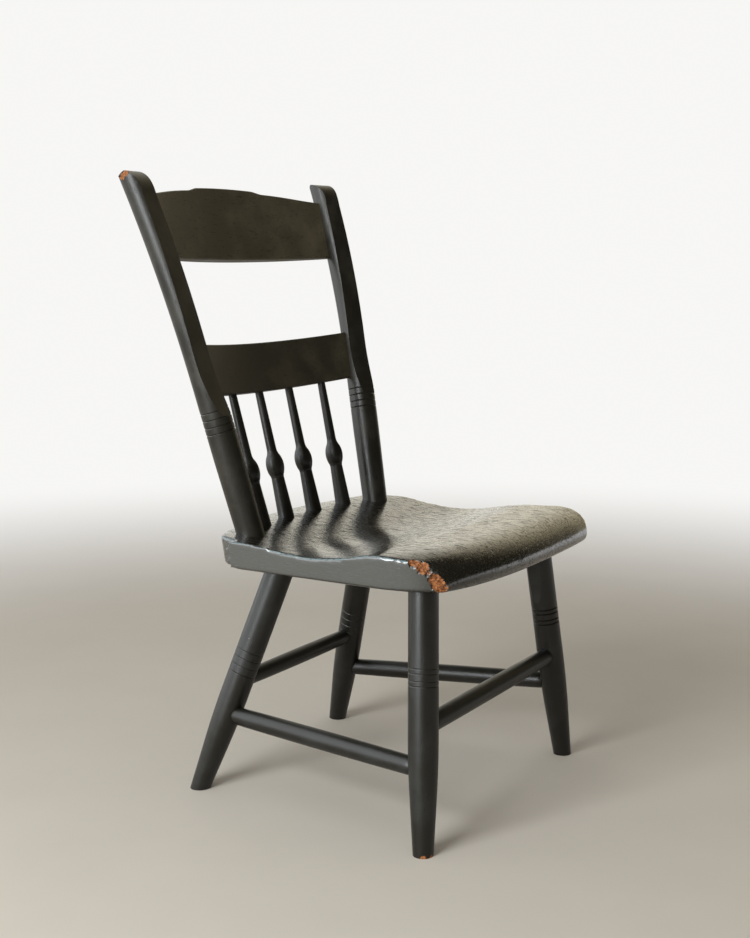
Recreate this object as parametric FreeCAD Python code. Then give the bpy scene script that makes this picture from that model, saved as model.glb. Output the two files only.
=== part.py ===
import FreeCAD, Part
import math
import os

# Plank-seat side chair with turned legs, a bent top rail, a lower rail and four spindles.
# Millimetres. +Z is up, the sitter faces -Y, +X is the sitter's left hand.
# The origin is on the floor, under the middle of the chair's outer box.

V = FreeCAD.Vector

# Driving dimensions of the seat plank
seat_underside = 315.0
seat_platform = 354.0
seat_half_width = 206.0
seat_edge_slope = 0.155
seat_back_edge = 145.0
seat_back_bow = 0.0012
seat_front_edge = -252.2
seat_front_bow_left = 0.00018
seat_front_bow_right = 0.00073
seat_bowl_depth = 6.0

# Driving dimensions of the legs: places on the floor and where the axis meets the underside
front_foot = V(206.7, -212.0, 0.0)
front_top = V(165.1, -188.7, seat_underside)
rear_foot = V(172.6, 155.5, 0.0)
rear_top = V(105.5, 61.0, seat_underside)
leg_foot_radius = 12.3
leg_swell_radius = 17.8
leg_radius = 19.3
leg_tenon_radius = 12.5
leg_tenon_length = 24.0

# Heights of the stretchers' axes on the legs, front and rear where the two differ
front_stretcher_height = 148.7
rear_stretcher_height = 145.1
right_stretcher_heights = (99.7, 101.5)
left_stretcher_heights = (109.3, 90.5)
stretcher_radius = 12.2
rear_stretcher_radius = 11.1
stretcher_tenon_radius = 8.5
stretcher_tenon_depth = 14.0

# Driving dimensions of the back posts: places on the left post's axis
post_base = V(159.5, 78.7, 354.0)
post_bend_start = V(188.9, 126.3, 550.0)
post_end = V(230.7, 229.4, 858.0)
post_top_height = 837.0
post_base_radius = 18.1
post_radius = 19.8
post_tenon_radius = 11.5
post_tenon_length = 27.0
post_ring_heights = (490.0, 499.0, 508.5, 518.0)
post_flat_start = 519.0
post_flat_full = 592.0
post_flat_offset = 8.0
post_flat_turn = 7.0

# Driving dimensions of the rails: the middle of the front face's lower line, the lean of the
# board, and the radius that it is bent to
top_rail_place = V(0.0, 207.4, 712.3)
top_rail_lean = 18.4
top_rail_bend = 770.0
top_rail_thickness = 15.0
low_rail_place = V(0.0, 147.7, 531.8)
low_rail_lean = 16.2
low_rail_bend = 620.0
low_rail_thickness = 13.5
low_rail_lower_edge = -1.0
low_rail_upper_edge = 69.5
rail_end_thickness = 10.0
rail_chamfer = 1.5

# Driving dimensions of the spindles: half spacings at the seat and at the lower rail
spindle_seat_places = (35.0, 102.0)
spindle_rail_places = (37.0, 111.0)
spindle_seat_line = 108.5
spindle_seat_curve = 0.00085
spindle_foot_tenon_radius = 7.0
spindle_foot_tenon_length = 20.0
spindle_head_tenon_radius = 4.0
spindle_head_tenon_length = 14.0


def on_side(point, side):
    """The same place on the sitter's left (1) or right (-1)."""
    return V(point.x * side, point.y, point.z)


def along(start, end, fraction):
    return start + (end - start) * fraction


def at_height(start, end, height):
    """The place on a straight axis at one height."""
    return along(start, end, (height - start.z) / (end.z - start.z))


def smooth_curve(points, start_tangent=None, end_tangent=None):
    curve = Part.BSplineCurve()
    if start_tangent is None:
        curve.interpolate(points)
    else:
        curve.interpolate(Points=points, InitialTangent=start_tangent, FinalTangent=end_tangent)
    return curve.toShape()


def turned(rim, start, direction):
    """A turned piece. The rim is (distance along the axis, radius) places joined by lines;
    a pair of places is an arc through the first to the second."""
    places = []
    edges = []
    for step in rim:
        if isinstance(step[0], tuple):
            middle, end = [V(radius, 0.0, distance) for distance, radius in step]
            edges.append(Part.Arc(places[-1], middle, end).toShape())
        else:
            end = V(step[1], 0.0, step[0])
            if places:
                edges.append(Part.makeLine(places[-1], end))
        places.append(end)
    foot = V(0.0, 0.0, places[0].z)
    head = V(0.0, 0.0, places[-1].z)
    edges.append(Part.makeLine(places[-1], head))
    edges.append(Part.makeLine(head, foot))
    edges.append(Part.makeLine(foot, places[0]))
    solid = Part.Face(Part.Wire(edges)).revolve(V(0.0, 0.0, 0.0), V(0.0, 0.0, 1.0), 360.0)
    solid.Placement = FreeCAD.Placement(start, FreeCAD.Rotation(V(0.0, 0.0, 1.0), direction))
    return solid


def scribed_ring(distance, radius, depth):
    """Three places on a rim that cut one small ring into a turned piece."""
    half = 1.1
    return [(distance - half, radius), (distance, radius - depth), (distance + half, radius)]


def half_space(height, above):
    """A block that covers everything above or below one height."""
    reach = 900.0
    corner = V(-reach, -reach, height if above else height - reach)
    return Part.makeBox(2.0 * reach, 2.0 * reach, reach, corner)


def one_solid(shape):
    """The biggest solid of a shape, with its split faces joined."""
    return max(shape.removeSplitter().Solids, key=lambda solid: solid.Volume)


# Seat plank

# Height of the top along the way from the spindle platform (0) to the nose (1), and how much
# higher or lower it is at the sitter's right edge
seat_dish = (
    (0.00, 353.4, 0.0),
    (0.09, 350.0, 2.0),
    (0.20, 346.0, 3.0),
    (0.32, 343.8, 2.0),
    (0.43, 345.9, -0.5),
    (0.53, 350.8, -2.5),
    (0.62, 355.6, -3.0),
    (0.71, 359.0, -1.0),
    (0.80, 360.3, -2.5),
)
# The rolled nose: distance behind the lower front edge and height, then how far the worn right
# corner sets it back and lowers it
seat_nose = (
    (31.0, 360.2, 10.0, 5.0),
    (17.5, 357.0, 15.0, 2.5),
    (9.0, 353.0, 18.0, 0.0),
    (2.5, 348.0, 22.0, 0.0),
    (-2.0, 342.5, 26.0, 0.0),
    (-5.0, 335.5, 27.0, 0.0),
    (-6.2, 328.0, 23.0, 0.0),
    (-4.8, 321.0, 16.0, 0.0),
    (-0.5, 315.0, 10.0, 0.0),
    (5.0, 309.0, 6.0, 0.0),
)


def seat_right_ease(x):
    """How much the sitter's right edge differs: nothing inside, one at the edge."""
    inside = 130.0
    return (max(0.0, -inside - x) / 80.0) ** 2


def seat_front_line(x):
    """The lower front edge: nearly straight on the sitter's left, bowed back on the right."""
    bow = seat_front_bow_left if x > 0.0 else seat_front_bow_right
    return seat_front_edge + bow * x * x


def seat_platform_line(x):
    """Where the dish starts, just ahead of the spindles."""
    return 91.0 - 0.0006 * x * x


def seat_top_face():
    rows = []
    reach = seat_half_width + 26.0
    count = 9
    for index in range(count):
        x = -reach + 2.0 * reach * index / (count - 1)
        platform = seat_platform_line(x)
        nose = seat_front_line(x)
        row = [
            V(x, 176.0, seat_platform - 4.5),
            V(x, 141.0, seat_platform - 1.8),
            V(x, 115.0, seat_platform),
        ]
        for fraction, height, lift in seat_dish:
            across = max(0.0, 1.0 - (x / seat_half_width) ** 2)
            bowl = seat_bowl_depth * across * math.exp(-((fraction - 0.38) / 0.22) ** 2)
            edge = lift * seat_right_ease(x)
            row.append(V(x, platform + (nose - platform) * fraction, height - bowl + edge))
        for distance, height, set_back, fall in seat_nose:
            worn = seat_right_ease(x)
            row.append(V(x, nose + distance + set_back * worn, height - fall * worn))
        rows.append(row)
    surface = Part.BSplineSurface()
    surface.interpolate(rows)
    return surface.toShape()


def seat_outline(grow, height):
    """The plank seen from above; grow moves the edge outward."""
    half = seat_half_width + grow
    back = seat_back_edge + grow

    def rear_place(inset):
        across = half - inset
        return V(across, back - seat_back_bow * across * across, height)

    left = [
        V(half, -129.0, height),
        V(half + 3.0, -206.0, height),
        V(half + 3.0, -235.0, height),
        V(half - 1.0, -251.0, height),
        V(half - 10.0, -269.0, height),
    ]
    right = [
        V(-half, -129.0, height),
        V(-half + 7.0, -188.0, height),
        V(-half + 16.0, -211.0, height),
        V(-half + 29.0, -233.0, height),
        V(-half + 52.0, -261.0, height),
    ]
    corner = [V(half, 47.0, height), V(half - 4.0, 70.0, height), V(half - 14.0, 89.0, height)]
    line = [rear_place(inset) for inset in (31.0, 65.0, 106.0)]
    left_rear = corner + line
    right_rear = [on_side(place, -1) for place in left_rear[::-1]]
    rear = left_rear + [V(0.0, back, height)] + right_rear
    edges = [
        smooth_curve(rear, V(0.0, 1.0, 0.0), V(0.0, -1.0, 0.0)),
        Part.makeLine(rear[-1], right[0]),
        smooth_curve(right, V(0.0, -1.0, 0.0), V(0.7, -0.7, 0.0)),
        Part.makeLine(right[-1], left[-1]),
        smooth_curve(left[::-1], V(0.55, 0.85, 0.0), V(0.0, 1.0, 0.0)),
        Part.makeLine(left[0], rear[0]),
    ]
    return Part.Wire(edges)


def seat_blank():
    """The plank with its dished and rolled top, before the sockets are bored."""
    blank_top = 370.0
    grow = (blank_top - seat_underside) * seat_edge_slope
    outlines = [seat_outline(0.0, seat_underside), seat_outline(grow, blank_top)]
    prism = Part.makeLoft(outlines, True, True)
    under_top = seat_top_face().extrude(V(0.0, 130.0, -130.0))
    return one_solid(prism.common(under_top))


# Legs

front_ring_heights = (198.5, 204.5, 213.5, 219.5)
rear_ring_heights = (158.0, 168.0, 178.0, 188.0)


def leg_flat(foot, top, radius, low, depth, normal):
    """The cutter for the flat that is shaved on a leg above its rings, with a run-out."""
    axis = (top - foot).normalize()
    side = axis.cross(normal).normalize()
    outward = side.cross(axis).normalize()
    run_out = 45.0
    span = seat_underside + 25.0 - low
    base = at_height(foot, top, low)

    def place(distance, cut):
        return base + axis * distance + outward * (radius - cut)

    clear = outward * 30.0
    start = place(0.0, -0.3)
    middle = place(run_out * 0.5, depth * 0.73)
    full = place(run_out, depth)
    end = place(span, depth)
    edges = [
        Part.Arc(start, middle, full).toShape(),
        Part.makeLine(full, end),
        Part.makeLine(end, end + clear),
        Part.makeLine(end + clear, start + clear),
        Part.makeLine(start + clear, start),
    ]
    face = Part.Face(Part.Wire(edges))
    face.translate(side * -25.0)
    return face.extrude(side * 50.0)


def leg(foot, top, thickness, rings, ring_depth, flat_low, flat_depth, flat_normal):
    """One turned leg: foot cut level, body up to the seat, and a round tenon above."""
    axis = (top - foot).normalize()
    stretch = (top - foot).Length / (top.z - foot.z)
    full = leg_radius * thickness
    swell = leg_swell_radius * thickness
    rim = [
        (-12.0, leg_foot_radius * thickness),
        (80.0, swell),
        ((107.0, along(swell, full, 0.66)), (140.0, full)),
    ]
    for height in rings:
        rim += scribed_ring(height * stretch, full, ring_depth)
    rim.append(((seat_underside + 20.0) * stretch, full))
    body = turned(rim, foot, axis)
    body = body.cut(half_space(0.0, False)).cut(half_space(seat_underside, True))
    body = body.cut(leg_flat(foot, top, full, flat_low, flat_depth, flat_normal))
    return one_solid(body.fuse(leg_tenon(foot, top, 20.0)))


def leg_tenon(foot, top, root):
    """The leg's round tenon, with a root that reaches back down into the leg."""
    axis = (top - foot).normalize()
    return Part.makeCylinder(leg_tenon_radius, root + leg_tenon_length, top - axis * root, axis)


# Stretchers

def stretcher_tenons(start, end):
    """One rod along the bar's axis; its two ends are the tenons that sit in the legs."""
    axis = (end - start).normalize()
    inset = leg_radius - stretcher_tenon_depth
    length = (end - start).Length - 2.0 * inset
    return Part.makeCylinder(stretcher_tenon_radius, length, start + axis * inset, axis)


def stretcher(start, end, start_leg, end_leg, radius):
    """A turned bar between two leg axes: rounded shoulders and a round tenon at each end."""
    axis = (end - start).normalize()
    length = (end - start).Length
    inner = 14.0
    shoulder = 9.0
    rim = [
        (inner, radius - 2.4),
        ((inner + shoulder * 0.4, radius - 1.1), (inner + shoulder, radius - 0.5)),
        ((length * 0.5, radius + 0.2), (length - inner - shoulder, radius - 0.5)),
        ((length - inner - shoulder * 0.4, radius - 1.1), (length - inner, radius - 2.4)),
    ]
    body = turned(rim, start, axis).cut(start_leg).cut(end_leg)
    return one_solid(body.fuse(stretcher_tenons(start, end)))


# Back posts

def post_bend_middle():
    """The middle of the arc that leaves the straight part smoothly and arrives at the end."""
    direction = (post_bend_start - post_base).normalize()
    chord = post_end - post_bend_start
    half = chord.Length * 0.5
    angle = direction.getAngle(chord)
    outward = (direction - chord * (direction.dot(chord) / chord.Length ** 2)).normalize()
    return post_bend_start + chord * 0.5 + outward * (half * math.tan(angle * 0.5))


def post_axis(height, side):
    """The line of a post: straight and splayed below, bent back above."""
    low, middle, top = post_bend_start, post_bend_middle(), post_end
    if height <= low.z:
        return on_side(at_height(post_base, low, height), side)
    near_low = (height - middle.z) * (height - top.z) / ((low.z - middle.z) * (low.z - top.z))
    near_middle = (height - low.z) * (height - top.z) / ((middle.z - low.z) * (middle.z - top.z))
    near_top = (height - low.z) * (height - middle.z) / ((top.z - low.z) * (top.z - middle.z))
    return on_side(low * near_low + middle * near_middle + top * near_top, side)


def post_front_cutter(side):
    """Cuts a post's flat front and its rounded thumb top, in one sweep across."""
    turn = math.tan(math.radians(post_flat_turn)) * side
    middle = post_axis(680.0, side)

    def place(height, offset):
        axis = post_axis(height, side)
        back = axis.y - offset - (axis.x - middle.x) * turn
        return V(middle.x, back, height)

    run_low = place(post_flat_start - 6.0, 22.5)
    run_middle = place(along(post_flat_start, post_flat_full, 0.42), 12.2)
    run_high = place(post_flat_full, post_flat_offset)
    flat_middle = place(700.0, post_flat_offset + 0.4)
    flat_high = place(806.0, post_flat_offset + 0.6)
    thumb_middle = V(middle.x, flat_high.y + 10.5, post_top_height - 9.5)
    thumb_back = V(middle.x, flat_high.y + 27.0, post_top_height - 0.5)
    crown_back = V(middle.x, flat_high.y + 33.0, post_top_height)
    corner_middle = V(middle.x, flat_high.y + 38.0, post_top_height - 4.0)
    corner_low = V(middle.x, flat_high.y + 40.5, post_top_height - 12.0)
    clear_back = V(middle.x, flat_high.y + 70.0, post_top_height - 12.0)
    ahead = V(middle.x, run_low.y - 60.0, run_low.z)
    above = V(middle.x, run_low.y - 60.0, 900.0)
    behind = V(middle.x, clear_back.y, 900.0)
    edges = [
        Part.Arc(run_low, run_middle, run_high).toShape(),
        Part.Arc(run_high, flat_middle, flat_high).toShape(),
        Part.Arc(flat_high, thumb_middle, thumb_back).toShape(),
        Part.makeLine(thumb_back, crown_back),
        Part.Arc(crown_back, corner_middle, corner_low).toShape(),
        Part.makeLine(corner_low, clear_back),
        Part.makeLine(clear_back, behind),
        Part.makeLine(behind, above),
        Part.makeLine(above, ahead),
        Part.makeLine(ahead, run_low),
    ]
    face = Part.Face(Part.Wire(edges))
    across = V(1.0, -turn, 0.0) * 90.0
    face.translate(across * -1.0)
    return face.extrude(across * 2.0)


def post_tenon(side, root):
    """The post's round foot tenon, with a root that reaches up into the post."""
    base = on_side(post_base, side)
    down = (base - on_side(post_bend_start, side)).normalize()
    return Part.makeCylinder(post_tenon_radius, root + post_tenon_length, base - down * root, down)


def post(side, blank):
    """The turned and bent post, shaved on its front, with its round foot tenon."""
    base = on_side(post_base, side)
    knee = on_side(post_bend_start, side)
    up = (knee - base).normalize()
    stretch = (knee - base).Length / (knee.z - base.z)
    rim = [(-25.0, post_base_radius), (105.0, post_radius - 0.1)]
    for height in post_ring_heights:
        rim += scribed_ring((height - base.z) * stretch, post_radius, 0.9)
    rim.append(((knee - base).Length, post_radius))
    straight = turned(rim, base, up)
    bend = Part.Arc(knee, on_side(post_bend_middle(), side), on_side(post_end, side)).toShape()
    section = Part.Wire(Part.makeCircle(post_radius, knee, bend.tangentAt(bend.FirstParameter)))
    bent = Part.Wire([bend]).makePipeShell([section], True, True)
    body = straight.fuse(bent)
    body = body.cut(blank).cut(half_space(seat_platform - 12.0, False))
    body = body.cut(post_front_cutter(side))
    return one_solid(body.fuse(post_tenon(side, 20.0)))


# Rails

def bent_board(outline, place, lean, bend, thickness):
    """A board cut to an outline and bent: hollow to the sitter, thinner at its ends, with its
    long edges lightly chamfered."""
    reach = 235.0
    sag = reach * reach / (2.0 * bend)
    low = -40.0
    front = Part.Arc(V(-reach, -sag, low), V(0.0, 0.0, low), V(reach, -sag, low)).toShape()
    back_end = -sag + rail_end_thickness - 1.0
    back = Part.Arc(V(reach, back_end, low), V(0.0, thickness, low), V(-reach, back_end, low)).toShape()
    right_end = Part.makeLine(V(reach, -sag, low), V(reach, back_end, low))
    left_end = Part.makeLine(V(-reach, back_end, low), V(-reach, -sag, low))
    slab = Part.Face(Part.Wire([front, right_end, back, left_end])).extrude(V(0.0, 0.0, 220.0))
    face = Part.Face(outline)
    face.translate(V(0.0, -90.0, 0.0))
    board = one_solid(slab.common(face.extrude(V(0.0, 180.0, 0.0))))
    shortest = 13.0
    long_edges = [edge for edge in board.Edges if edge.BoundBox.XLength > shortest]
    board = board.makeChamfer(rail_chamfer, long_edges)
    turn = FreeCAD.Rotation(V(1.0, 0.0, 0.0), -lean)
    board.Placement = FreeCAD.Placement(place, turn)
    return board


def top_rail_outline():
    """Arched lower edge, and an upper edge that climbs to a raised middle over a soft step."""
    low_end = V(208.0, 0.0, 0.5)
    high_end = V(219.0, 0.0, 89.5)
    lower_middle = V(0.0, 0.0, 6.0)
    shoulder = [high_end, V(186.0, 0.0, 94.6), V(150.0, 0.0, 101.2)]
    shoulder += [V(118.0, 0.0, 105.9), V(92.0, 0.0, 108.6)]
    step = [shoulder[-1], V(84.0, 0.0, 109.7), V(74.0, 0.0, 112.3), V(64.0, 0.0, 114.1)]
    crown_middle = V(0.0, 0.0, 116.4)
    right_shoulder = [on_side(place, -1) for place in shoulder[::-1]]
    right_step = [on_side(place, -1) for place in step[::-1]]
    edges = [
        Part.Arc(on_side(low_end, -1), lower_middle, low_end).toShape(),
        Part.makeLine(low_end, high_end),
        smooth_curve(shoulder),
        smooth_curve(step),
        Part.Arc(step[-1], crown_middle, right_step[0]).toShape(),
        smooth_curve(right_step),
        smooth_curve(right_shoulder),
        Part.makeLine(right_shoulder[-1], on_side(low_end, -1)),
    ]
    return Part.Wire(edges)


def low_rail_outline():
    low_end = V(181.0, 0.0, low_rail_lower_edge)
    high_end = V(190.0, 0.0, low_rail_upper_edge)
    corners = [on_side(low_end, -1), low_end, high_end, on_side(high_end, -1)]
    return Part.makePolygon(corners + corners[:1])


def low_rail_point(across, up):
    """The middle of the lower rail's thickness, across from the centre line and up its face."""
    angle = math.radians(low_rail_lean)
    depth = low_rail_thickness * 0.5 - across * across / (2.0 * low_rail_bend)
    y = low_rail_place.y + up * math.sin(angle) + depth * math.cos(angle)
    z = low_rail_place.z + up * math.cos(angle) - depth * math.sin(angle)
    return V(across, y, z)


# Spindles

# Height above the seat against radius: swelled foot, bulb over a notch, slim neck. A pair of
# places is an arc.
spindle_rim = [
    (-8.0, 11.7),
    (57.0, 9.0),
    (60.0, 9.6),
    ((74.0, 12.8), (88.0, 9.8)),
    ((92.0, 7.9), (99.0, 6.9)),
    (190.0, 5.6),
]


def spindle_tenon(start, direction, radius, root, length):
    return Part.makeCylinder(radius, root + length, start - direction * root, direction)


def spindle(seat_place, rail_place, blank, rail_bottom):
    """One turned spindle with a round tenon at each end."""
    axis = (rail_place - seat_place).normalize()
    body = turned(spindle_rim, seat_place, axis)
    body = body.cut(blank).cut(half_space(seat_platform - 12.0, False)).cut(rail_bottom)
    return body


def low_rail_underside():
    """Everything above the lower rail's lower edge, to trim the spindles' tops."""
    block = Part.makeBox(500.0, 300.0, 200.0, V(-250.0, -150.0, low_rail_lower_edge))
    block.Placement = FreeCAD.Placement(
        low_rail_place, FreeCAD.Rotation(V(1.0, 0.0, 0.0), -low_rail_lean))
    return block


# Assembly

def build():
    blank = seat_blank()
    seat = blank
    sides = {"left": 1, "right": -1}
    front_legs = {
        "left": (0.97, front_ring_heights, 0.9, 228.0, 2.9, V(-0.995, 0.1, 0.0)),
        "right": (0.985, front_ring_heights, 0.5, 228.0, 1.2, V(-0.75, 0.66, 0.0)),
    }
    rear_legs = {
        "left": (0.98, rear_ring_heights, 0.5, 194.0, 1.2, V(0.3, 0.95, 0.0)),
        "right": (1.0, rear_ring_heights, 0.5, 194.0, 1.2, V(-0.75, 0.66, 0.0)),
    }
    pieces = {}
    for row, foot, top, shapes in (
            ("front", front_foot, front_top, front_legs), ("rear", rear_foot, rear_top, rear_legs)):
        for side, sign in sides.items():
            here = (on_side(foot, sign), on_side(top, sign))
            pieces[row + "_" + side + "_leg"] = leg(*here, *shapes[side])
            seat = seat.cut(leg_tenon(*here, 20.0))

    def front_place(sign, height):
        return on_side(at_height(front_foot, front_top, height), sign)

    def rear_place(sign, height):
        return on_side(at_height(rear_foot, rear_top, height), sign)

    bars = {
        "front_stretcher": (
            front_place(-1, front_stretcher_height), front_place(1, front_stretcher_height),
            "front_right_leg", "front_left_leg", stretcher_radius),
        "rear_stretcher": (
            rear_place(-1, rear_stretcher_height), rear_place(1, rear_stretcher_height),
            "rear_right_leg", "rear_left_leg", rear_stretcher_radius),
        "right_stretcher": (
            front_place(-1, right_stretcher_heights[0]), rear_place(-1, right_stretcher_heights[1]),
            "front_right_leg", "rear_right_leg", stretcher_radius),
        "left_stretcher": (
            front_place(1, left_stretcher_heights[0]), rear_place(1, left_stretcher_heights[1]),
            "front_left_leg", "rear_left_leg", stretcher_radius),
    }
    for name, (start, end, start_leg, end_leg, radius) in bars.items():
        pieces[name] = stretcher(start, end, pieces[start_leg], pieces[end_leg], radius)
    for start, end, start_leg, end_leg, radius in bars.values():
        sockets = stretcher_tenons(start, end)
        for name in (start_leg, end_leg):
            pieces[name] = one_solid(pieces[name].cut(sockets))

    top_rail = bent_board(
        top_rail_outline(), top_rail_place, top_rail_lean, top_rail_bend, top_rail_thickness)
    low_rail = bent_board(
        low_rail_outline(), low_rail_place, low_rail_lean, low_rail_bend, low_rail_thickness)
    for side, sign in sides.items():
        pieces[side + "_post"] = one_solid(post(sign, blank).cut(top_rail).cut(low_rail))
        seat = seat.cut(post_tenon(sign, 20.0))

    rail_bottom = low_rail_underside()
    places = ((-1, 1), (-1, 0), (1, 0), (1, 1))
    for number, (sign, index) in enumerate(places, start=1):
        x = sign * spindle_seat_places[index]
        seat_place = V(x, spindle_seat_line - spindle_seat_curve * x * x, seat_platform)
        rail_place = low_rail_point(sign * spindle_rail_places[index], low_rail_lower_edge)
        axis = (rail_place - seat_place).normalize()
        foot = spindle_tenon(
            seat_place, axis * -1.0, spindle_foot_tenon_radius, 10.0, spindle_foot_tenon_length)
        head = spindle_tenon(
            rail_place, axis, spindle_head_tenon_radius, 10.0, spindle_head_tenon_length)
        body = spindle(seat_place, rail_place, blank, rail_bottom)
        pieces["spindle_%d" % number] = one_solid(body.fuse(foot).fuse(head))
        seat = seat.cut(foot)
        low_rail = low_rail.cut(head)

    pieces["seat"] = one_solid(seat)
    pieces["top_rail"] = top_rail
    pieces["low_rail"] = one_solid(low_rail)
    return pieces


os.makedirs("parts", exist_ok=True)
for name, shape in build().items():
    shape.exportStep("parts/" + name + ".step")
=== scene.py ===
import math

import bmesh
import bpy
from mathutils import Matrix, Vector, noise
from mathutils.bvhtree import BVHTree


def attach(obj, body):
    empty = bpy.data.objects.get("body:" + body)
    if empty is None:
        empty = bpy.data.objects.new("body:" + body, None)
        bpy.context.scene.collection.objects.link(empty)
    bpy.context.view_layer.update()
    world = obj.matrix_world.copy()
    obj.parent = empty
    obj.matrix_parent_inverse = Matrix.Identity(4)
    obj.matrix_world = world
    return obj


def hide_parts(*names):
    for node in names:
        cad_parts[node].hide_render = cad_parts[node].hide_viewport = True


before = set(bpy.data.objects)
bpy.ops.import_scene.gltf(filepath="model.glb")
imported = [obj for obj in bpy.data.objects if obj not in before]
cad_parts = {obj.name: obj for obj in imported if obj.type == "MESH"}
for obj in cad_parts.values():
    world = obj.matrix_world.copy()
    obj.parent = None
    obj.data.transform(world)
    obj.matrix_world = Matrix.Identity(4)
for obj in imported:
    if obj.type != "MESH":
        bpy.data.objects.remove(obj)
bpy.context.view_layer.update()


# Seat
# One thick plank of poplar, dished and rolled over at the front, painted black and rubbed glossy by
# use. Its edges are worn round and its front right corner is broken away. Its right side is painted
# paler for the window light on it, with some dust, and its worn top edge carries a painted highlight.
def add(tree, kind, sockets=(), **settings):
    """Adds a shader node and returns its first output; each socket takes a value or a link."""
    made = tree.nodes.new(kind)
    for name, value in settings.items():
        setattr(made, name, value)
    for socket, value in sockets:
        if isinstance(value, bpy.types.NodeSocket):
            tree.links.new(value, made.inputs[socket])
        else:
            made.inputs[socket].default_value = value
    return made.outputs[0]


def maths(tree, operation, first, *others):
    """Joins two or more values by one operation, from left to right."""
    for other in others:
        first = add(tree, "ShaderNodeMath", [(0, first), (1, other)], operation=operation)
    return first


def times(tree, *values):
    return maths(tree, "MULTIPLY", *values)


def plus(tree, *values):
    return maths(tree, "ADD", *values)


def minus(tree, *values):
    return maths(tree, "SUBTRACT", *values)


def greatest(tree, *values):
    return maths(tree, "MAXIMUM", *values)


def ramp(tree, value, low, high, start=0.0, end=1.0):
    """Turns the span from low to high into start to end, with soft shoulders."""
    sockets = [("Value", value), ("From Min", low), ("From Max", high), ("To Min", start), ("To Max", end)]
    return add(tree, "ShaderNodeMapRange", sockets, interpolation_type="SMOOTHSTEP")


def blend(tree, amount, first, second):
    """Mixes two colours by an amount; each takes a colour or a link."""
    made = tree.nodes.new("ShaderNodeMix")
    made.data_type = "RGBA"
    for socket, value in ((0, amount), (6, first), (7, second)):
        if isinstance(value, bpy.types.NodeSocket):
            tree.links.new(value, made.inputs[socket])
        else:
            made.inputs[socket].default_value = value if socket == 0 else (*value, 1)
    return made.outputs[2]


def cloud(tree, vector, scale, detail=3.0, roughness=0.55):
    sockets = [("Vector", vector), ("Scale", scale), ("Detail", detail), ("Roughness", roughness)]
    return add(tree, "ShaderNodeTexNoise", sockets)


def reach_along(tree, vector, direction):
    """How far a place or a heading reaches along a direction."""
    dot = tree.nodes.new("ShaderNodeVectorMath")
    dot.operation = "DOT_PRODUCT"
    tree.links.new(vector, dot.inputs[0])
    dot.inputs[1].default_value = direction
    return dot.outputs["Value"]


def drawn_out(tree, place, along, stretch):
    """The place in the wood, squeezed along the grain so that a pattern is drawn out along it."""
    along = Vector(along).normalized()
    reach = times(tree, reach_along(tree, place, along), 1 / stretch - 1)
    step = add(tree, "ShaderNodeVectorMath", [(0, along), ("Scale", reach)], operation="SCALE")
    return add(tree, "ShaderNodeVectorMath", [(0, place), (1, step)], operation="ADD")


def near_spots(tree, place, spots):
    """How far inside the nearest of some round spots a place is; a spot is (x, y, z, radius)."""
    depths = []
    for x, y, z, radius in spots:
        gap = tree.nodes.new("ShaderNodeVectorMath")
        gap.operation = "DISTANCE"
        tree.links.new(place, gap.inputs[0])
        gap.inputs[1].default_value = (x, y, z)
        depths.append(minus(tree, radius, gap.outputs["Value"]))
    return greatest(tree, *depths)


def flecked(tree, place, colour, flecks):
    """Scatters small pale flecks over the paint; a fleck's size is in shares of its cell."""
    fleck_colour = (0.34, 0.30, 0.23)
    cells_per_metre = 75
    fleck_share = 0.12
    widest_fleck = 0.055
    soft_rim = 0.01
    cells = tree.nodes.new("ShaderNodeTexVoronoi")
    cells.inputs["Scale"].default_value = cells_per_metre
    tree.links.new(place, cells.inputs["Vector"])
    lot = tree.nodes.new("ShaderNodeSeparateColor")
    tree.links.new(cells.outputs["Color"], lot.inputs[0])
    plain_cells = 1 - fleck_share * flecks
    chosen = ramp(tree, lot.outputs[0], plain_cells, plain_cells + soft_rim)
    size = times(tree, lot.outputs[1], widest_fleck)
    inside = ramp(tree, minus(tree, size, cells.outputs["Distance"]), 0, soft_rim)
    return blend(tree, times(tree, chosen, inside), colour, fleck_colour)


def edge_wear_and_light(tree, spot):
    """How far the plank looks up, where it faces right (painted lit), and the worn line (painted
    highlight).
    """
    looks = tree.nodes.new("ShaderNodeSeparateXYZ")
    tree.links.new(spot.outputs["Normal"], looks.inputs[0])
    lies = tree.nodes.new("ShaderNodeSeparateXYZ")
    tree.links.new(spot.outputs["Object"], lies.inputs[0])
    across = looks.outputs["X"]
    upward = looks.outputs["Z"]
    lit_right_side = ramp(tree, across, -0.82, -0.96)
    turned_out = ramp(tree, across, -0.50, -0.62)
    short_of_side = ramp(tree, across, -0.93, -0.85)
    above = ramp(tree, upward, 0.2, 0.35)
    far_right = ramp(tree, lies.outputs["X"], -0.180, -0.190)
    unbroken = ramp(tree, cloud(tree, spot.outputs["Object"], scale=150, detail=4), 0.40, 0.52)
    worn_highlight_line = times(tree, turned_out, short_of_side, above, far_right, unbroken)
    return upward, lit_right_side, worn_highlight_line


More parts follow.
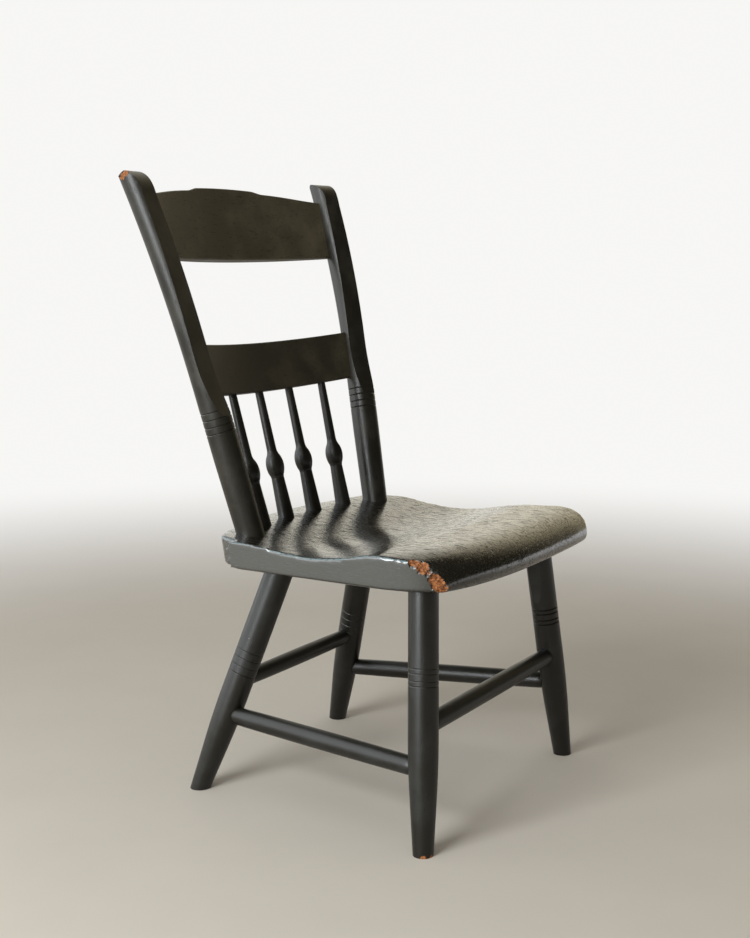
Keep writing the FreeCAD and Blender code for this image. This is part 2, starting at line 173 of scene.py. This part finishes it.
def bare_wood(tree, place, along, chips, holes):
    """Chips with ragged rims: how bare a place is, the colour of its wood with painted shade in its holes,
    and the wood's grain.
    """
    dark_wood = (0.15, 0.048, 0.013)
    light_wood = (0.42, 0.155, 0.048)
    hole_painted_shade = (0.006, 0.005, 0.004)
    raggedness = 0.009
    chip_rim = 0.0005
    hole_rim = 0.0006
    splinters = cloud(tree, place, scale=330, detail=4, roughness=0.65)
    ragged = times(tree, minus(tree, splinters, 0.5), raggedness)
    bare = ramp(tree, plus(tree, near_spots(tree, place, chips), ragged), 0.0, chip_rim)
    grain = cloud(tree, drawn_out(tree, place, along, stretch=6), scale=460, detail=4, roughness=0.6)
    timber = blend(tree, ramp(tree, grain, 0.38, 0.62), dark_wood, light_wood)
    if holes:
        shaded_hole = plus(tree, near_spots(tree, place, holes), times(tree, ragged, 0.3))
        # Painted shade: the holes are darkened to near black.
        timber = blend(tree, ramp(tree, shaded_hole, 0.0, hole_rim), timber, hole_painted_shade)
    return bare, timber, grain


black = (0.0105, 0.0093, 0.0064)
pore_black = (0.003, 0.003, 0.0025)
# Paler grey for the plank's right side, which faces the window: painted light, with some dust.
side_dust_and_light = (0.074, 0.077, 0.072)
# Pale blue for the worn line on the plank's right top edge: a painted highlight over worn paint.
worn_blue_and_highlight = (0.115, 0.165, 0.175)
pore_darkness = 0.7
patch_dulling = 0.10
dust_height = 0.25
wood_depth = 1.6
wood_grain_height = 1.8
wood_roughness = 0.75
pit_roughness = 0.55
pit_dulling = 0.8
worn_roughness = 0.6
rubbed_shine = 0.5
plain_shine = 0.34
brush_height = 0.0003


def black_paint(name, along, gloss, faded, grain_depth, base=black, flecks=0.5, chips=(), holes=(),
                rubbed=False):
    """Old black paint over wood, with grain, pores, faded patches, flecks and chipped places.

    A rubbed piece also has a clear polish, dull in its pits, a right side painted paler as if lit,
    and a worn right edge that carries a painted pale blue highlight.
    """
    material = bpy.data.materials.new(name)
    material.use_nodes = True
    tree = material.node_tree
    shader = tree.nodes["Principled BSDF"]
    spot = tree.nodes.new("ShaderNodeTexCoord")
    place = spot.outputs["Object"]
    drawn_grain = drawn_out(tree, place, along, stretch=22)
    fine_grain = cloud(tree, drawn_grain, scale=520, detail=4, roughness=0.65)
    pore_lines = cloud(tree, drawn_out(tree, place, along, stretch=7), scale=620, detail=2)
    pores = ramp(tree, pore_lines, 0.60, 0.70)
    patches = cloud(tree, place, scale=17, detail=5, roughness=0.6)
    dust = cloud(tree, place, scale=1100, detail=2)

    colour = blend(tree, ramp(tree, patches, 0.42, 0.70), base, faded)
    colour = blend(tree, times(tree, pores, pore_darkness), colour, pore_black)
    colour = flecked(tree, place, colour, flecks)
    rough = ramp(tree, patches, 0.35, 0.70, gloss, gloss + patch_dulling)
    if rubbed:
        upward, lit_right_side, worn_highlight_line = edge_wear_and_light(tree, spot)
        grain_depth = ramp(tree, upward, 0.3, 0.8, 0.35, grain_depth)
        # The right side, facing the window, is made paler: painted light, with some dust.
        colour = blend(tree, lit_right_side, colour, side_dust_and_light)
        # The worn line along the right top edge gets a painted pale blue highlight over the worn paint.
        colour = blend(tree, worn_highlight_line, colour, worn_blue_and_highlight)

    height = plus(tree, times(tree, fine_grain, grain_depth), times(tree, dust, dust_height))
    height = minus(tree, height, times(tree, pores, grain_depth))
    bare = 0.0
    if chips:
        bare, timber, wood_grain = bare_wood(tree, place, along, chips, holes)
        colour = blend(tree, bare, colour, timber)
        height = minus(tree, height, times(tree, bare, wood_depth))
        height = plus(tree, height, times(tree, bare, wood_grain, wood_grain_height))
        rough = greatest(tree, rough, times(tree, bare, wood_roughness))
    if rubbed:
        drawn_pits = drawn_out(tree, place, along, stretch=9)
        pits = ramp(tree, cloud(tree, drawn_pits, scale=400, detail=4, roughness=0.7), 0.50, 0.62)
        rough = greatest(tree, rough, times(tree, pits, pit_roughness))
        rough = greatest(tree, rough, times(tree, worn_highlight_line, worn_roughness))
        dull = plus(tree, bare, times(tree, pits, pit_dulling), worn_highlight_line)
        polish = add(tree, "ShaderNodeMath", [(0, 1.0), (1, dull)], operation="SUBTRACT", use_clamp=True)
        tree.links.new(polish, shader.inputs["Coat Weight"])

    shader.inputs["Coat Roughness"].default_value = gloss
    shader.inputs["Specular IOR Level"].default_value = rubbed_shine if rubbed else plain_shine
    tree.links.new(colour, shader.inputs["Base Color"])
    tree.links.new(rough, shader.inputs["Roughness"])
    bump = add(tree, "ShaderNodeBump", [("Strength", 0.5), ("Distance", brush_height), ("Height", height)])
    tree.links.new(bump, shader.inputs["Normal"])
    tree.links.new(bump, shader.inputs["Coat Normal"])
    return material


def finish_in(piece, material):
    piece.data.materials.clear()
    piece.data.materials.append(material)


def make_piece(name, shape):
    """Makes an object from a finished shape and puts it in the scene."""
    mesh = bpy.data.meshes.new(name)
    shape.to_mesh(mesh)
    shape.free()
    piece = bpy.data.objects.new(name, mesh)
    bpy.context.scene.collection.objects.link(piece)
    return piece


def evenly_meshed(node, step):
    """The shape of a node, meshed again in even squares so that it can be smoothed."""
    copy = bpy.data.objects.new(node + "_even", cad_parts[node].data.copy())
    bpy.context.scene.collection.objects.link(copy)
    even = copy.modifiers.new("even", "REMESH")
    even.mode = "VOXEL"
    even.voxel_size = step
    shape = bmesh.new()
    shape.from_mesh(copy.evaluated_get(bpy.context.evaluated_depsgraph_get()).to_mesh())
    bpy.data.objects.remove(copy)
    return shape


def surfaces_of(names):
    """The surfaces of some nodes, to measure from."""
    surfaces = []
    for name in names:
        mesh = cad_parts[name].data
        points = [corner.co for corner in mesh.vertices]
        surfaces.append(BVHTree.FromPolygons(points, [face.vertices[:] for face in mesh.polygons]))
    return surfaces


# Round bites out of the front right corner, from its top down to the underside: x, y, z, radius
corner_chips = [
    (-0.2025, -0.1965, 0.3540, 0.0075),
    (-0.1975, -0.2060, 0.3480, 0.0085),
    (-0.1940, -0.2110, 0.3415, 0.0048),
    (-0.1890, -0.2180, 0.3325, 0.0080),
    (-0.1860, -0.2215, 0.3260, 0.0090),
    (-0.1825, -0.2265, 0.3190, 0.0080),
]
# Holes in the broken wood, painted near black inside as painted shade: x, y, z, radius
corner_holes = [(-0.1865, -0.2215, 0.3245, 0.0022), (-0.2000, -0.2025, 0.3520, 0.0030)]
chip_raggedness = 0.003
ragged_scale = 260


def chip_depth(place):
    """How far inside the broken corner a place is, in metres; less than nought is sound wood."""
    inside = max(radius - (place - Vector((x, y, z))).length for x, y, z, radius in corner_chips)
    return inside + chip_raggedness * noise.noise(place * ragged_scale)


even_step = 0.0022
rubbing_rounds = 9
socket_margin = 0.0035
plank = evenly_meshed("seat", even_step)
let_in = [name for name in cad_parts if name.endswith(("_leg", "_post")) or name.startswith("spindle")]
crisp = surfaces_of(let_in)
free = [v for v in plank.verts if all(near.find_nearest(v.co, socket_margin)[0] is None for near in crisp)]
for _ in range(rubbing_rounds):
    bmesh.ops.smooth_vert(plank, verts=free, factor=0.5, use_axis_x=True, use_axis_y=True, use_axis_z=True)

corner_margin = 0.004
corner_cuts = 2
chip_slope = 1.3
deepest_chip = 0.0032
splinter_height = 0.0009
splinter_scale = 700
corner = [edge for edge in plank.edges if all(chip_depth(v.co) > -corner_margin for v in edge.verts)]
bmesh.ops.subdivide_edges(plank, edges=corner, cuts=corner_cuts, use_grid_fill=True)
plank.normal_update()
for v in plank.verts:
    depth = chip_depth(v.co)
    if depth > 0:
        splinter = splinter_height * noise.noise(v.co * splinter_scale)
        v.co -= v.normal * (min(chip_slope * depth, deepest_chip) + splinter)
for face in plank.faces:
    face.smooth = True

worn_seat = make_piece("worn_seat", plank)
seat_paint = black_paint(
    "seat_paint", along=(0, 1, 0), gloss=0.11, faded=(0.018, 0.016, 0.0115), grain_depth=2.4, flecks=0.3,
    chips=corner_chips, holes=corner_holes, rubbed=True)
finish_in(worn_seat, seat_paint)
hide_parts("seat")
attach(worn_seat, "root")


# Legs
# Four turned legs of maple, socketed up into the plank: a long taper to the foot, four scribed
# rings, and a flat shaved above them. The near front foot is worn to the wood.
turned_faded = (0.018, 0.018, 0.016)
leg_splay = {
    "front_left_leg": (-0.132, 0.074, 1),
    "front_right_leg": (0.132, 0.074, 1),
    "rear_left_leg": (-0.213, -0.300, 1),
    "rear_right_leg": (0.213, -0.300, 1),
}
foot_chips = {"front_right_leg": [(-0.2175, -0.2185, 0.0, 0.0038), (-0.2085, -0.2245, 0.0, 0.0030)]}
for leg, splay in leg_splay.items():
    paint = black_paint(
        leg + "_paint", splay, gloss=0.30, faded=turned_faded, grain_depth=0.5, flecks=1.0,
        chips=foot_chips.get(leg, ()))
    finish_in(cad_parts[leg], paint)


# Stretchers
# Four turned bars of maple with round tenons at both ends. They are let into holes in the legs and
# hold their splay.
bar_run = {
    "front_stretcher": (1, 0, 0),
    "rear_stretcher": (1, 0, 0),
    "right_stretcher": (0.128, 0.99, 0),
    "left_stretcher": (-0.128, 0.99, 0),
}
for bar, run in bar_run.items():
    paint = black_paint(bar + "_paint", run, gloss=0.34, faded=turned_faded, grain_depth=0.5, flecks=0.7)
    finish_in(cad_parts[bar], paint)


# Back posts
# Two turned maple posts, bent back, shaved flat in front and rounded off at the top. They stand in
# the plank on round tenons. The right one has lost a corner of its tip.
# The posts' black is written lighter than the legs': painted light on their flat fronts.
post_finish_with_painted_light = {
    "gloss": 0.30,
    "faded": (0.034, 0.031, 0.023),
    "grain_depth": 0.5,
    "flecks": 0.8,
    "base": (0.016, 0.0142, 0.0100),
}
finish_in(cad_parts["left_post"], black_paint("left_post_paint", (0.141, 0.299, 1), **post_finish_with_painted_light))

break_facing = Vector((-0.80, 0.22, 0.55)).normalized()
break_depth = 0.0078
break_cuts = 4
break_roughness = 0.0009
break_scale = 500
bare_radius = 0.0085
crease_angle = 32
merge_gap = 0.000001
plane_slack = 0.00001

stick = bmesh.new()
stick.from_mesh(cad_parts["right_post"].data)
bmesh.ops.remove_doubles(stick, verts=stick.verts, dist=merge_gap)
break_level = max(v.co.dot(break_facing) for v in stick.verts) - break_depth


def on_break(v):
    """Whether a corner of the mesh lies on the plane of the break."""
    return v.co.dot(break_facing) > break_level - plane_slack


bmesh.ops.bisect_plane(
    stick, geom=stick.verts[:] + stick.edges[:] + stick.faces[:], dist=merge_gap,
    plane_co=break_facing * break_level, plane_no=break_facing, clear_outer=True)
rim = [edge for edge in stick.edges if edge.is_boundary]
broken = bmesh.ops.holes_fill(stick, edges=rim)["faces"]
broken = bmesh.ops.triangulate(stick, faces=broken)["faces"]
inner = [edge for edge in stick.edges if all(face in broken for face in edge.link_faces)]
bmesh.ops.subdivide_edges(stick, edges=inner, cuts=break_cuts)
in_break = [v for v in stick.verts if on_break(v)]
inside_break = [v for v in in_break if all(on_break(w) for edge in v.link_edges for w in edge.verts)]
break_middle = sum((v.co for v in in_break), Vector()) / len(in_break)
for v in inside_break:
    v.co -= break_facing * break_roughness * (1 + noise.noise(v.co * break_scale))

broken_post = make_piece("broken_post", stick)
if "custom_normal" in broken_post.data.attributes:
    broken_post.data.attributes.remove(broken_post.data.attributes["custom_normal"])
broken_post.data.polygons.foreach_set("use_smooth", [True] * len(broken_post.data.polygons))
broken_post.data.set_sharp_from_angle(angle=math.radians(crease_angle))
tip_chips = [(*break_middle, bare_radius)]
finish_in(broken_post, black_paint("right_post_paint", (-0.141, 0.299, 1), chips=tip_chips, **post_finish_with_painted_light))
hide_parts("right_post")
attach(broken_post, "root")


# Rails
# Two boards of ash, bent to the sitter's back, the upper one raised in the middle. Their thinned
# ends are let into the posts.
# The rails' black is written far lighter and warmer than the legs', the top rail's most: painted light
# from the front.
rail_colours_with_painted_light = {
    "top_rail": ((0.068, 0.0580, 0.0345), (0.100, 0.0840, 0.0500)),
    "low_rail": ((0.031, 0.0265, 0.0158), (0.056, 0.0475, 0.0275)),
}
for rail, (base, faded) in rail_colours_with_painted_light.items():
    paint = black_paint(
        rail + "_paint", (1, 0, 0), gloss=0.44, faded=faded, grain_depth=0.7, base=base, flecks=0.4)
    finish_in(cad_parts[rail], paint)


# Spindles
# Four short turned spindles of maple, each with a bulb. They are socketed into the plank below and
# the lower rail above.
spindle_lean = {
    "spindle_1": (-0.05, 0.22, 1),
    "spindle_2": (-0.01, 0.22, 1),
    "spindle_3": (0.01, 0.22, 1),
    "spindle_4": (0.05, 0.22, 1),
}
for spindle, lean in spindle_lean.items():
    paint = black_paint(spindle + "_paint", lean, gloss=0.34, faded=(0.018, 0.017, 0.013), grain_depth=0.5)
    finish_in(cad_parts[spindle], paint)


# Floor
# A plain pale matt floor, laid flat under the feet. It keeps the chair's shadow and melts into the
# background further out.
backdrop = (0.93, 0.925, 0.91)
floor_radius = 12
floor_dark = (0.69, 0.63, 0.54)
floor_light = (0.75, 0.685, 0.595)
fade_start = 0.85
fade_end = 2.7


def seen_ray(tree):
    """One for rays that look at the floor, straight or in a gloss or glass, and nought for light."""
    path = tree.nodes.new("ShaderNodeLightPath")
    outputs = path.outputs
    return plus(tree, outputs["Is Camera Ray"], outputs["Is Glossy Ray"], outputs["Is Transmission Ray"])


disc = bmesh.new()
bmesh.ops.create_circle(disc, cap_ends=True, segments=96, radius=floor_radius)
floor = make_piece("floor", disc)
floor_paint = bpy.data.materials.new("floor_matt")
floor_paint.use_nodes = True
tree = floor_paint.node_tree
shader = tree.nodes["Principled BSDF"]
shader.inputs["Roughness"].default_value = 0.85
place = tree.nodes.new("ShaderNodeTexCoord").outputs["Object"]
mottle = blend(tree, cloud(tree, place, scale=6, detail=3), floor_dark, floor_light)
tree.links.new(mottle, shader.inputs["Base Color"])
reach = tree.nodes.new("ShaderNodeVectorMath")
reach.operation = "LENGTH"
tree.links.new(place, reach.inputs[0])
far = times(tree, ramp(tree, reach.outputs["Value"], fade_start, fade_end), seen_ray(tree))
glow = add(tree, "ShaderNodeEmission", [("Color", (*backdrop, 1)), ("Strength", 1.0)])
mixed = add(tree, "ShaderNodeMixShader", [(0, far), (1, shader.outputs[0]), (2, glow)])
tree.links.new(mixed, tree.nodes["Material Output"].inputs["Surface"])
finish_in(floor, floor_paint)


# Light
# A large cool window on the chair's right and a soft pale room. Gloss sees that room uneven: a pale
# wall behind the chair, a brighter window side, and a dark, warmer side in front of it.
wall_heading = (0.855, 0.518, 0)
window_heading = (-0.70, 0.64, 0.32)
cool_heading = (-0.518, 0.855, 0)
window_glow = 3.3
room_light = 0.35
warm_white = (1.0, 0.86, 0.56)
cool_white = (0.92, 0.97, 1.0)
soft_white = (1.0, 0.97, 0.92)

world = bpy.data.worlds.new("room")
bpy.context.scene.world = world
world.use_nodes = True
tree = world.node_tree
heading = tree.nodes.new("ShaderNodeTexCoord").outputs["Generated"]
wall = ramp(tree, reach_along(tree, heading, wall_heading), 0.50, 0.98, 0.05, 1.04)
side = ramp(tree, reach_along(tree, heading, window_heading), 0.30, 0.90, 0.0, window_glow)
coolness = ramp(tree, reach_along(tree, heading, cool_heading), -0.6, 0.6)
tint = blend(tree, coolness, warm_white, cool_white)
path = tree.nodes.new("ShaderNodeLightPath")
room = add(tree, "ShaderNodeBackground", [("Color", tint), ("Strength", plus(tree, wall, side))])
plain = add(tree, "ShaderNodeBackground", [("Color", (*backdrop, 1)), ("Strength", 1.0)])
light = add(tree, "ShaderNodeBackground", [("Color", (*soft_white, 1)), ("Strength", room_light)])
gloss = plus(tree, path.outputs["Is Glossy Ray"], path.outputs["Is Transmission Ray"])
shown = add(tree, "ShaderNodeMixShader", [(0, gloss), (1, light), (2, room)])
shown = add(tree, "ShaderNodeMixShader", [(0, path.outputs["Is Camera Ray"]), (1, shown), (2, plain)])
tree.links.new(shown, tree.nodes["World Output"].inputs["Surface"])


def soft_lamp(name, place, aim, size, power, colour):
    lamp = bpy.data.lights.new(name, "AREA")
    lamp.shape = "RECTANGLE"
    lamp.size, lamp.size_y = size
    lamp.energy = power
    lamp.color = colour
    holder = bpy.data.objects.new(name, lamp)
    holder.location = place
    holder.rotation_euler = (Vector(aim) - Vector(place)).to_track_quat("-Z", "Y").to_euler()
    bpy.context.scene.collection.objects.link(holder)


soft_lamp(
    "window", place=(-2.7, 0.35, 1.25), aim=(0, 0, 0.4), size=(1.3, 1.8), power=80,
    colour=cool_white)


# Camera
# It stands in front of the chair on its right, level with the upper back. The lens is shifted down
# for framing.
lens_pixels = 1423
picture_height = 938
sensor = 36
tilt_down = 2.536
turn = -58.724
camera = bpy.data.cameras.new("camera")
camera.sensor_width = sensor
camera.lens = sensor * lens_pixels / picture_height
camera.shift_y = -0.16
holder = bpy.data.objects.new("camera", camera)
holder.location = (-1.6818, -1.0400, 0.7236)
holder.rotation_euler = (math.radians(90 - tilt_down), 0, math.radians(turn))
bpy.context.scene.collection.objects.link(holder)
bpy.context.scene.camera = holder
bpy.context.scene.view_settings.view_transform = "Standard"
